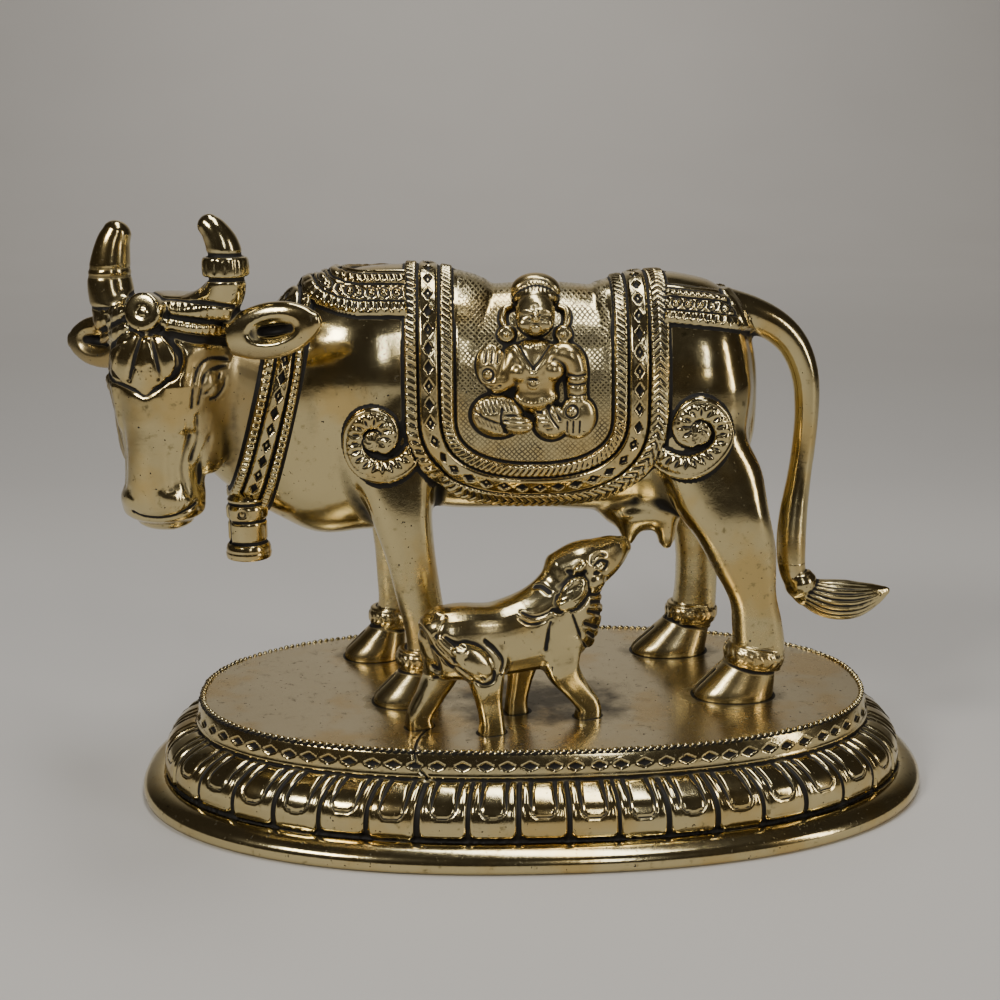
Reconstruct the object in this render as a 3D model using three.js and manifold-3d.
// A brass cow and calf on an oval lotus plinth, in millimetres, +Z up, the cow facing -X.
import * as THREE from "three";
import { mergeVertices } from "three/addons/utils/BufferGeometryUtils.js";
import Module from "manifold-3d";

const wasm = await Module();
wasm.setup();

// Driving dimensions of the plinth
const footHalf = { x: 90, y: 55 };
const planPower = 2.3;
const deckHeight = 21;
const petals = 42;
const petalGroove = 1.1;
const seatGap = 0.3;

// Driving dimensions of the cow
const spineY = 6;
const nearLegY = -9.5;
const farLegY = 21.5;
const poll = new THREE.Vector3(-76, -11.5, 0);
const headYaw = THREE.MathUtils.degToRad(53);
const bandRaise = 1.9;
const collarRaise = 2;
const scrollRaise = 2.3;
const flowerRaise = 2.1;

// Driving dimensions of the calf, which stands turned towards the udder
const calfPlace = new THREE.Vector3(-6.8, -23.3, 0);
const calfYaw = THREE.MathUtils.degToRad(20);

const floor = deckHeight + seatGap;
const at = (x, y, z) => new THREE.Vector3(x, y, z);
const upright = at(0, 0, 1);
const sideways = at(0, 1, 0);

// A geometry as a solid that can be joined and cut
function solid(geometry) {
  const bare = geometry.clone();
  bare.deleteAttribute("normal");
  bare.deleteAttribute("uv");
  const merged = mergeVertices(bare, 1e-4);
  const vertProperties = merged.attributes.position.array;
  const triVerts = new Uint32Array(merged.index.array);
  return new wasm.Manifold(new wasm.Mesh({ numProp: 3, vertProperties, triVerts }));
}

// A joined solid as a geometry again
function surface(made) {
  const mesh = made.getMesh();
  const geometry = new THREE.BufferGeometry();
  geometry.setAttribute("position", new THREE.BufferAttribute(mesh.vertProperties, 3));
  geometry.setIndex(new THREE.BufferAttribute(mesh.triVerts, 1));
  geometry.computeVertexNormals();
  return geometry;
}

const join = (pieces) => pieces.reduce((whole, piece) => whole.add(piece));

// A closed skin over rings of equally many points, each ring counter-clockwise seen from the last one
function skin(rings) {
  const count = rings[0].length;
  const middle = (ring) => ring.reduce((sum, p) => sum.clone().add(p), at(0, 0, 0)).divideScalar(count);
  const points = [...rings.flat(), middle(rings[0]), middle(rings[rings.length - 1])];
  const index = [];
  for (let r = 0; r + 1 < rings.length; r++) {
    for (let i = 0; i < count; i++) {
      const a = r * count + i;
      const b = r * count + ((i + 1) % count);
      index.push(a, b, b + count, a, b + count, a + count);
    }
  }
  const last = (rings.length - 1) * count;
  for (let i = 0; i < count; i++) {
    const next = (i + 1) % count;
    index.push(points.length - 2, next, i);
    index.push(points.length - 1, last + i, last + next);
  }
  const geometry = new THREE.BufferGeometry().setFromPoints(points);
  geometry.setIndex(index);
  return solid(geometry);
}

// Values between the rows of a table of numbers, on a Catmull-Rom curve
function eased(rows, place) {
  const i = Math.min(Math.floor(place), rows.length - 2);
  const t = place - i;
  const row = (k) => rows[Math.min(Math.max(k, 0), rows.length - 1)];
  return rows[i].map((value, n) => {
    const [p, q, r, s] = [row(i - 1)[n], value, row(i + 1)[n], row(i + 2)[n]];
    return q + 0.5 * t * (r - p + t * (2 * p - 5 * q + 4 * r - s + t * (3 * (q - r) + s - p)));
  });
}

// A limb through stations [x, y, z, half width along across, half depth], with oval sections
function limb(stations, { sides = 10, across = sideways, grow = 0, power = 2, level = false } = {}) {
  const last = stations.length - 1;
  const centres = stations.map(([x, y, z]) => at(x, y, z));
  const rings = stations.map(([, , , wide, deep], i) => {
    const ahead = centres[Math.min(i + 1, last)].clone().sub(centres[Math.max(i - 1, 0)]).normalize();
    const axis = level ? upright.clone().multiplyScalar(Math.sign(ahead.z)) : ahead;
    const width = across.clone().addScaledVector(axis, -across.dot(axis)).normalize();
    const depth = axis.clone().cross(width);
    return Array.from({ length: sides }, (_, k) => {
      const turn = (2 * Math.PI * (k + 0.5)) / sides;
      const [c, s] = [Math.cos(turn), Math.sin(turn)];
      const reach = (Math.abs(c) ** power + Math.abs(s) ** power) ** (-1 / power);
      return centres[i]
        .clone()
        .addScaledVector(width, c * reach * (wide + grow))
        .addScaledVector(depth, s * reach * (deep + grow));
    });
  });
  return skin(rings);
}

// An oval body with three half axes
function bead(centre, half, sides, rings) {
  const geometry = new THREE.SphereGeometry(1, sides, rings);
  geometry.scale(...half).translate(...centre);
  return solid(geometry);
}

// Depths well past both flanks
const [nearEdge, farEdge] = [-60, 60];

// A side-view outline, in x and z, drawn out through the whole width of the cow
function through(shape, { near = nearEdge, far = farEdge, curveSegments = 10 } = {}) {
  const options = { depth: far - near, bevelEnabled: false, curveSegments };
  const geometry = new THREE.ExtrudeGeometry(shape, options);
  geometry.rotateX(Math.PI / 2).translate(0, far, 0);
  return solid(geometry);
}

const outline = (points) => new THREE.Shape(points.map(([x, z]) => new THREE.Vector2(x, z)));

// A profile of [radius, height] turned round the upright axis
function turned(profile, sides) {
  const geometry = new THREE.LatheGeometry(profile.map(([r, h]) => new THREE.Vector2(r, h)), sides);
  return geometry.rotateX(Math.PI / 2);
}

// Plinth: a stack of rings on an oval plan, with the petals' grooves pressed into the bulge

function planPoint(turn, inset, z) {
  const [c, s] = [Math.cos(turn), Math.sin(turn)];
  const bow = (v) => Math.sign(v) * Math.abs(v) ** (2 / planPower);
  return at((footHalf.x - inset) * bow(c), (footHalf.y - inset) * bow(s), z);
}

// Turns that divide the plan's edge into equal lengths
function evenTurns(count, inset) {
  const fine = 3600;
  const lengths = [0];
  for (let i = 1; i <= fine; i++) {
    const from = planPoint((2 * Math.PI * (i - 1)) / fine, inset, 0);
    lengths.push(lengths[i - 1] + from.distanceTo(planPoint((2 * Math.PI * i) / fine, inset, 0)));
  }
  const whole = lengths[fine];
  return Array.from({ length: count }, (_, k) => {
    const i = lengths.findIndex((length) => length > (whole * k) / count);
    return (2 * Math.PI * (i - 1)) / fine;
  });
}

// Rows of [inset, z, share of the petal groove], from the underside up to the deck
const plinthProfile = [
  [0, 0, 0],
  [0, 3, 0],
  [4.6, 4.9, 0],
  [4.3, 7.2, 0.9],
  [5.6, 10.8, 1],
  [8.8, 13.6, 1],
  [12.9, 15.4, 0],
  [13.9, deckHeight, 0],
];

function plinth() {
  const samples = petals * 2;
  const turns = evenTurns(samples, 8);
  const rings = plinthProfile.map(([inset, z, groove]) =>
    turns.map((turn, i) => planPoint(turn, inset + (i % 2 === 0 ? groove * petalGroove : 0), z)),
  );
  return skin(rings);
}

// Cow: trunk and neck

// Rows of [x, top, bottom, half width] from the chest to the rump
const trunkRows = [
  [-57.5, 98, 68, 7],
  [-52.5, 107, 59.6, 12.8],
  [-43, 112.2, 57.2, 16.4],
  [-33, 115.6, 58.6, 17.4],
  [-23, 115.8, 61.4, 17],
  [-13, 112.4, 62.1, 16.8],
  [2, 112.9, 62.2, 17.1],
  [16, 112, 61.4, 17],
  [25, 114.1, 60.6, 17.2],
  [34, 113.6, 61.5, 17.4],
  [42, 111, 64.6, 16],
  [48, 102.5, 74, 8],
];

const trunkPower = 2.35;
const trunkStations = trunkRows.map(([x, top, bottom, wide]) => {
  return [x, spineY, (top + bottom) / 2, wide, (top - bottom) / 2];
});
const trunk = (grow) => limb(trunkStations, { sides: 14, grow, power: trunkPower });

// The trunk's station at any x between the rows
function trunkStation(x) {
  const i = trunkRows.findIndex(([next]) => next > x) - 1;
  return eased(trunkStations, i + (x - trunkRows[i][0]) / (trunkRows[i + 1][0] - trunkRows[i][0]));
}

const neckStations = [
  [-40, 6, 86, 15, 27],
  [-50, 3.5, 84.5, 14, 25],
  [-57, 0, 86, 12.4, 21],
  [-64, -4.5, 90, 10.4, 16.5],
  [-71, -9.5, 96, 8.5, 12],
];

const neck = (grow) => limb(neckStations, { sides: 11, grow, power: 2.2 });

// Legs: [x, y, z, half width, half depth] down to the fetlock, then a ring and a hoof

const legs = [
  {
    stations: [
      [-31, -4, 84, 7.5, 10.5],
      [-30.6, -6.6, 74, 6.8, 9],
      [-29.2, -8.6, 64, 6, 6.7],
      [-27.5, nearLegY, 55, 5.2, 5.4],
      [-26.2, nearLegY, 47.5, 4.9, 5],
      [-24.7, nearLegY, 39.5, 4.5, 4.6],
      [-24.2, nearLegY, 33, 4.5, 4.5],
      [-25, nearLegY, 27, 4.8, 5],
    ],
    ring: [-25.6, nearLegY, 31.2, 5.9],
    hoof: [-28.8, nearLegY, 7.6, 6.4, -25.6],
  },
  {
    stations: [
      [-33, 16.5, 82, 7.5, 10],
      [-33, 19, 70, 6.5, 8.4],
      [-32.8, 21, 60, 5.5, 6],
      [-32.4, farLegY, 51, 4.8, 4.9],
      [-32.2, farLegY, 41, 4.4, 4.5],
      [-32.2, farLegY, 34, 4.4, 4.4],
      [-33.4, farLegY, 27, 4.8, 5],
    ],
    ring: [-33.4, farLegY, 31.2, 5.8],
    hoof: [-37.8, farLegY, 7.2, 6.4, -34.4],
  },
  {
    stations: [
      [36.5, -3.5, 90, 8, 11.4],
      [37.4, -5.5, 79, 8, 10.4],
      [40, -7.6, 69, 7.4, 10.6],
      [42.8, nearLegY, 61, 6.4, 9.2],
      [45.2, nearLegY, 53, 5.4, 8.4],
      [47.4, nearLegY, 44.5, 4.9, 6.3],
      [49.4, nearLegY, 38, 4.8, 5.9],
      [50.4, nearLegY, 32, 4.8, 5.8],
      [49.6, nearLegY, 27, 5.2, 6],
    ],
    ring: [49.2, nearLegY, 30.4, 7.3],
    hoof: [44.9, nearLegY, 9, 6.6, 48.2],
  },
  {
    stations: [
      [36, 15.5, 90, 8, 12],
      [37.5, 17.5, 78, 8, 11.4],
      [38.5, 19.6, 67, 7, 9],
      [40, farLegY, 57, 5.6, 6.6],
      [40.5, farLegY, 48, 4.8, 5.1],
      [40.6, farLegY, 39, 4.6, 5],
      [40.2, farLegY, 33, 4.6, 5.2],
      [39, farLegY, 27, 5, 5.6],
    ],
    ring: [39.6, farLegY, 31.3, 6.6],
    hoof: [34.2, farLegY, 9, 6.6, 38.2],
  },
];

const legTop = (leg, grow) => limb(leg.stations.slice(0, 4), { sides: 8, grow });

function hoof([x, y, long, wide, topX]) {
  const top = 29;
  return limb(
    [
      [x, y, floor, wide, long],
      [x + 0.3, y, floor + 1.6, wide, long - 0.1],
      [x + (topX - x) * 0.55, y, (floor + top) / 2 + 0.6, wide - 0.7, long - 1.5],
      [topX, y, top, wide - 1.6, long - 2.6],
    ],
    { level: true, sides: 8 },
  );
}

function anklet([x, y, z, wide]) {
  const rows = [-2.2, 0, 2.2].map((h) => {
    const out = h === 0 ? 0 : -0.9;
    return [x, y, z + h, wide - 0.6 + out, wide + out];
  });
  return limb(rows, { level: true, sides: 8 });
}

const legSolid = (leg) => join([limb(leg.stations, { sides: 8 }), anklet(leg.ring), hoof(leg.hoof)]);

// Tail, looped clear of the rump down to the hock, with its tuft swept back
const tailStations = [
  [42, 6, 108.2, 4.5, 3.6],
  [49, 6, 105.6, 4.2, 3.9],
  [55, 6, 102.4, 3.6, 3.7],
  [59.2, 6, 98, 3.2, 3.4],
  [61.8, 6, 91.5, 2.9, 3.1],
  [62.5, 6, 84, 2.7, 2.8],
  [62.2, 6, 76, 2.6, 2.7],
  [61.2, 5.4, 67.5, 2.6, 2.8],
  [60, 4, 59.5, 2.7, 3.3],
  [59.5, 2.6, 52, 2.8, 3.4],
  [60.2, 2, 46, 2.6, 3],
  [62.6, 1.8, 42.6, 2.3, 2.6],
];
const tuftStations = [
  [60.6, 1.9, 43.4, 1.6, 2.4],
  [63.6, 1.8, 41.6, 2.8, 3.6],
  [68.5, 1.6, 40, 3.5, 4.8],
  [74, 1.4, 39.7, 3.3, 4.8],
  [79, 1.2, 41, 2.2, 2.9],
  [83, 1, 42.4, 0.5, 0.5],
];

// Udder with four teats
function udder() {
  const teat = (x, y, z) =>
    limb([[x, y, 61, 2.6, 2.6], [x, y, z + 2.4, 2, 2], [x + 0.2, y, z, 1, 1]], { sides: 6 });
  return join([
    bead([24.5, 4, 62], [9.5, 9, 5.4], 8, 6),
    teat(21.6, -1, 54.6),
    teat(30, -1.5, 53.4),
    teat(21.6, 9, 54.6),
    teat(30, 9.5, 53.4),
  ]);
}

// Head: an oval loft down the face, in its own turned frame

const front = at(-Math.cos(headYaw), -Math.sin(headYaw), 0);
const farSide = at(-Math.sin(headYaw), Math.cos(headYaw), 0);

// A place on the head: aside towards the far ear, ahead out of the face, and a height
function onHead(aside, ahead, z) {
  return at(poll.x, poll.y, z).addScaledVector(farSide, aside).addScaledVector(front, ahead);
}

// Rows of [height, how far ahead, half width, half depth] from the crown to the chin
const headRows = [
  [114.4, 0.6, 3.5, 3],
  [112.8, 0.8, 8.5, 6.8],
  [108.5, 1, 11.4, 10],
  [102, 1.2, 12.2, 11.8],
  [95, 1.5, 12.5, 12],
  [88, 2.1, 10.6, 11.2],
  [81, 3.4, 8.6, 9.4],
  [75, 4.6, 8.2, 8],
  [70, 5.2, 8.9, 7.7],
  [67, 5.2, 8.4, 7],
  [65.3, 5, 6, 5],
];

function head(grow) {
  const stations = headRows.map(([z, ahead, wide, deep]) => {
    const raise = z > 113 ? grow : 0;
    return [...onHead(0, ahead, z + raise).toArray(), wide, deep];
  });
  return limb(stations, { across: farSide, sides: 12, grow, level: true, power: 2.15 });
}

function horn(base, bends) {
  const stations = bends.map(([x, y, z, radius]) => [x, y, z, radius, radius]);
  const [x, y, z, radius] = base;
  const [half, proud] = [1.7, 0.9];
  const ring = [
    [x, y, z - half, radius, radius],
    [x, y, z, radius + proud, radius + proud],
    [x, y, z + half, radius, radius],
  ];
  return join([limb(stations, { sides: 8 }), limb(ring, { sides: 8 })]);
}

const horns = [
  horn([-63, -21.5, 119, 3.9], [
    [-65, -19.5, 108, 4.6],
    [-63.4, -21, 114, 4.3],
    [-62.7, -21.8, 119, 3.9],
    [-63.4, -22, 123.4, 3.2],
    [-65.2, -22, 126.6, 2.2],
    [-67.3, -21.8, 129, 0.8],
  ]),
  horn([-90, -1.6, 113.6, 4.6], [
    [-87, -4, 105, 4.6],
    [-89.4, -2.4, 109.5, 4.7],
    [-90.3, -1.8, 114, 4.5],
    [-90, -1.8, 119, 3.9],
    [-88.8, -2, 123, 3],
    [-87, -2, 126.8, 0.9],
  ]),
];

// Rows of [share of the length, half height, half thickness] along an ear
const earRows = [
  [0, 3, 2.2],
  [0.2, 4.4, 2.7],
  [0.45, 5.2, 2.7],
  [0.7, 4.7, 2.3],
  [0.9, 2.9, 1.5],
  [1, 0.9, 0.7],
];

// An ear as a leaf with a hollow on its face
function ear(root, tip, facing) {
  const stations = earRows.map(([share, tall, thick]) => {
    return [...root.clone().lerp(tip, share).toArray(), tall, thick];
  });
  const leaf = limb(stations, { across: upright, sides: 8 });
  const length = root.distanceTo(tip);
  const hollow = new THREE.SphereGeometry(1, 6, 5);
  const along = tip.clone().sub(root).normalize();
  const tall = facing.clone().cross(along).normalize();
  hollow.applyMatrix4(new THREE.Matrix4().makeBasis(
    along.multiplyScalar(length * 0.36),
    tall.multiplyScalar(3),
    facing.clone().multiplyScalar(2.2),
  ));
  const middle = root.clone().lerp(tip, 0.5).addScaledVector(facing, 2.9);
  hollow.translate(...middle);
  return leaf.subtract(solid(hollow));
}

const ears = [
  ear(at(-63.5, -20, 106), at(-44.2, -26, 108.4), at(-0.29, -0.957, 0)),
  ear(at(-85.5, -4, 104), at(-101.5, 3.5, 101), at(-0.42, -0.9, 0.1)),
];

// A ring of relief round the head, and a panel on the forehead
function headDress() {
  const slab = new THREE.BoxGeometry(60, 60, 5.2);
  slab.translate(poll.x, poll.y, 106.55);
  const band = head(0.9).intersect(solid(slab));
  const fan = new THREE.Shape();
  fan.moveTo(0.1, 90.6);
  fan.quadraticCurveTo(5.6, 94, 7.6, 101.6);
  fan.quadraticCurveTo(4, 105.3, 0.1, 105.2);
  fan.quadraticCurveTo(-4, 105.3, -7.4, 101.5);
  fan.quadraticCurveTo(-5.4, 94, 0.1, 90.6);
  const panel = new THREE.ExtrudeGeometry(fan, { depth: 30, bevelEnabled: false, curveSegments: 4 });
  const stand = new THREE.Matrix4().makeBasis(farSide.clone().negate(), upright, front);
  panel.applyMatrix4(stand).translate(poll.x, poll.y, 0);
  const rosette = turned([[0, 0], [4.2, 0], [4.2, 2.6], [2.2, 2.6], [1.5, 3.8], [0, 4.1]], 12);
  rosette.applyMatrix4(stand).translate(...onHead(0, 9.2, 108.4));
  return join([band, head(0.8).intersect(solid(panel)), solid(rosette)]);
}

// Cloth and harness: side-view outlines laid on the grown form of the body

function hide(grow) {
  const parts = [trunk(grow), neck(grow), ...legs.map((leg) => legTop(leg, grow))];
  return join(parts);
}

const cloth = { frontX: -28, rearX: 28.8, hemX: -1, hemZ: 65.4, cornerZ: 79, halfHem: 27.8, bandWide: 12 };

// A point of the cloth's round hem, drawn in by inset, at a turn from 0 at the rear to 1 at the front
function hemPoint(share, inset) {
  const turn = Math.PI * share;
  const [half, drop] = [cloth.halfHem - inset, cloth.cornerZ - cloth.hemZ - inset];
  return [cloth.hemX + half * Math.cos(turn), cloth.cornerZ - drop * Math.sin(turn) ** 0.8];
}

const hemSteps = 10;
const hemLine = (inset) => Array.from({ length: hemSteps + 1 }, (_, i) => hemPoint(i / hemSteps, inset));
const overTop = 125;

// The ornamented border of the cloth, an upright band at each end and a round hem between them
function border() {
  const [rear, front] = [cloth.rearX - cloth.bandWide, cloth.frontX + cloth.bandWide];
  const ground = outline([[rear, overTop + 1], ...hemLine(cloth.bandWide), [front, overTop + 1]]);
  const whole = outline([[cloth.rearX, overTop], ...hemLine(0), [cloth.frontX, overTop]]);
  return through(whole).subtract(through(ground));
}

// A spiral scroll that ends in an eye
function scroll(x, z, outer, inner, turns, start, sense) {
  const [count, thick] = [7, 1.25];
  const side = (offset) =>
    Array.from({ length: count + 1 }, (_, i) => {
      const share = i / count;
      const radius = outer + (inner - outer) * share + offset;
      const turn = start + sense * 2 * Math.PI * turns * share;
      return [x + radius * Math.cos(turn), z + radius * 1.12 * Math.sin(turn)];
    });
  const ribbon = [...side(thick), ...side(-thick).reverse()];
  const eye = new THREE.Shape();
  eye.absellipse(x, z, 2, 2.2, 0, 2 * Math.PI);
  return through(outline(ribbon)).add(through(eye, { curveSegments: 6 }));
}

const scrolls = () => [
  scroll(-33.6, 80.3, 6.6, 3.4, 1.1, -0.2, 1),
  scroll(35.8, 81.6, 6.8, 3.4, 1.1, Math.PI + 0.2, -1),
];

const frontStrap = [
  ...[[-27, 106.6], [-27, 120], [-40, 120]],
  ...[[-48.5, 113], [-48.1, 111], [-45.6, 109], [-38.1, 106.8]],
];
const rearStrap = [[27, 105.2], [46.2, 103], [46.6, 105], [42, 120], [27, 120]];
const collarSide = [
  ...[[-50, 118], [-59, 118], [-58.4, 95], [-62, 82], [-66.4, 69]],
  ...[[-66, 58], [-56, 58], [-51.6, 81], [-49.2, 99]],
];

function harness() {
  const raised = join([border(), through(outline(frontStrap)), through(outline(rearStrap))]);
  const collar = neck(collarRaise).intersect(through(outline(collarSide)));
  return join([trunk(bandRaise).intersect(raised), hide(scrollRaise).intersect(join(scrolls())), collar]);
}

// The bell under the collar
function bell() {
  const mouth = [[0, 0], [4.6, 0], [5, 1.8], [4.2, 4.4]];
  const crown = [[4.3, 11], [4.7, 12], [4.3, 13], [3.2, 15.5], [0, 15.5]];
  return solid(turned([...mouth, ...crown], 10).translate(-63.4, -4.6, 53.4));
}

// A place on the near flank of the cloth, out from its surface
function onFlank(x, z, out) {
  const [, , middle, wide, deep] = trunkStation(x);
  const share = Math.min(Math.abs(z - middle) / deep, 1);
  const reach = (1 - share ** trunkPower) ** (1 / trunkPower);
  return at(x, spineY - wide * reach - out, z);
}

// The seated deity on the near flank, cross-legged, one palm raised and one open below
function deity() {
  const tube = (points) =>
    limb(points.map(([x, z, out, radius]) => [...onFlank(x, z, out), radius, radius]), { sides: 5 });
  const ball = (x, z, out, half, sides = 8, rings = 5) => bead(onFlank(x, z, out), half, sides, rings);
  const leg = (sense, knee, shin) =>
    tube([[0.5 - sense * 0.5, 87, 1, 3.4], [6 * sense, knee, 1.6, 4.2], ...shin]);
  return join([
    ball(-0.3, 95, 0.6, [6.2, 3.4, 8]),
    ball(-0.2, 106.2, 3.6, [3.9, 3.6, 4.6]),
    ball(0, 109.6, 4.2, [5.2, 4.2, 3.4]),
    ball(-5.8, 102.8, 1.2, [1.9, 1.6, 2.1], 6, 4),
    ball(5.8, 103, 1.2, [1.9, 1.6, 2.1], 6, 4),
    tube([[-5, 99.6, 1, 2.5], [-9.6, 93.6, 1.6, 2.4], [-9.8, 97.6, 3, 2.4]]),
    tube([[4.6, 99.6, 1, 2.5], [10, 93.8, 1.8, 2.4], [8.8, 86, 3.4, 2.5]]),
    leg(-1, 86.6, [[-12.2, 84.6, 1.2, 3], [-7, 83, 2.6, 2.6], [2.2, 82.6, 2.6, 2]]),
    leg(1, 86.8, [[11.8, 85, 1.2, 3], [7, 83.2, 2.4, 2.6], [-1.4, 82.9, 1.6, 2.2]]),
  ]);
}

// A plain six-petalled flower in the place of the figure on the far flank
function flankFlower() {
  const [x, z, reach] = [-1, 93, 6.2];
  const count = 6;
  const oval = (offset, turn, long, wide) => {
    const shape = new THREE.Shape();
    const middle = [x + offset * Math.cos(turn), z + offset * Math.sin(turn)];
    shape.absellipse(...middle, long, wide, 0, 2 * Math.PI, false, turn);
    return through(shape, { near: spineY, curveSegments: 4 });
  };
  const parts = Array.from({ length: count }, (_, i) => oval(reach, (2 * Math.PI * i) / count, 3.6, 2.4));
  parts.push(oval(0, 0, 3.1, 3.1));
  return trunk(flowerRaise).intersect(join(parts));
}

function cow() {
  return join([
    trunk(0),
    neck(0),
    head(0),
    ...horns,
    ...ears,
    headDress(),
    ...legs.map(legSolid),
    limb(tailStations, { sides: 7 }),
    limb(tuftStations, { sides: 7 }),
    udder(),
    harness(),
    bell(),
    deity(),
    flankFlower(),
  ]);
}

// Calf, in its own frame: x forward along its back, y towards its far side

function calf() {
  const body = [
    [-18, 0, 40.6, 2.6, 4],
    [-16.4, 0, 40.8, 5, 6.8],
    [-11, 0, 40.6, 6.4, 8],
    [-3, 0, 40.2, 6.2, 7.8],
    [5, 0, 41, 6, 8.6],
    [12, 0, 42, 5.6, 8.8],
    [17, 0, 41.5, 4.6, 7.4],
    [20, 0, 40.8, 2.6, 5.6],
  ];
  const neckUp = [
    [8, 0, 43, 5.2, 7],
    [13.5, 0, 48, 4.8, 7.6],
    [16.8, 0, 52.4, 4.3, 6.6],
    [19, 0, 54.6, 3.6, 5],
  ];
  const face = [
    [11.4, 0, 53.8, 3.6, 3.6],
    [16.4, 0, 54.4, 4.7, 4.9],
    [21, 0.4, 54.9, 4.3, 4.9],
    [25.4, 0.8, 56.6, 3.2, 3.5],
    [28.2, 1, 57.7, 1.7, 1.8],
  ];
  const leg = (x, y, foot, wide, deep) =>
    limb([
      [x, y * 0.75, 39, wide, deep + 1.6],
      [x, y, 33, wide, deep + 0.6],
      [(x + foot) / 2, y, 28, wide - 0.6, deep - 0.3],
      [foot, y, 23.6, wide - 0.7, deep - 0.5],
      [foot, y, floor, wide - 0.5, deep - 0.1],
    ], { sides: 8, level: true });
  const earOf = (sense) =>
    limb([
      [17.2, 3.6 * sense, 53.2, 1.4, 1],
      [14.6, 5 * sense, 51, 2.6, 1.2],
      [11.8, 5.6 * sense, 49.2, 2.4, 1.1],
      [9.6, 5.8 * sense, 48.2, 0.9, 0.7],
    ], { across: at(0.6, 0, -0.8), sides: 6 });
  const tail = [
    [-16.2, -1.4, 47.6, 1, 1],
    [-17.2, -3, 44, 1.3, 1.3],
    [-14.4, -5.6, 40.6, 1.7, 2.2],
    [-9.4, -6.6, 36.8, 1.6, 3.1],
    [-6.4, -6.2, 34.2, 0.8, 1.2],
  ];
  return join([
    limb(body, { power: 2.2 }),
    limb(neckUp, { sides: 8 }),
    limb(face, { sides: 8 }),
    leg(-13.5, 4.4, -18.6, 2.8, 3.2),
    leg(-6.6, -4.6, -5.4, 2.8, 3),
    leg(5.4, 4.4, 3.9, 2.6, 2.8),
    leg(15.2, -3.8, 17.6, 2.7, 3.5),
    earOf(-1),
    earOf(1),
    limb(tail, { sides: 6 }),
  ]);
}

// Finishes and the finished group
function brass(name, color, roughness) {
  return new THREE.MeshStandardMaterial({ name, color, roughness, metalness: 1 });
}

const polished = brass("polished_brass", 0xc9b06a, 0.25);
const satin = brass("satin_brass", 0xb8a377, 0.38);

function named(name, made, material) {
  const mesh = new THREE.Mesh(surface(made), material);
  mesh.name = name;
  return mesh;
}

const statue = new THREE.Group();
statue.add(named("plinth", plinth(), satin));
statue.add(named("cow", cow(), polished));
const calfMesh = named("calf", calf(), polished);
calfMesh.position.copy(calfPlace);
calfMesh.rotation.z = calfYaw;
statue.add(calfMesh);

export default statue;
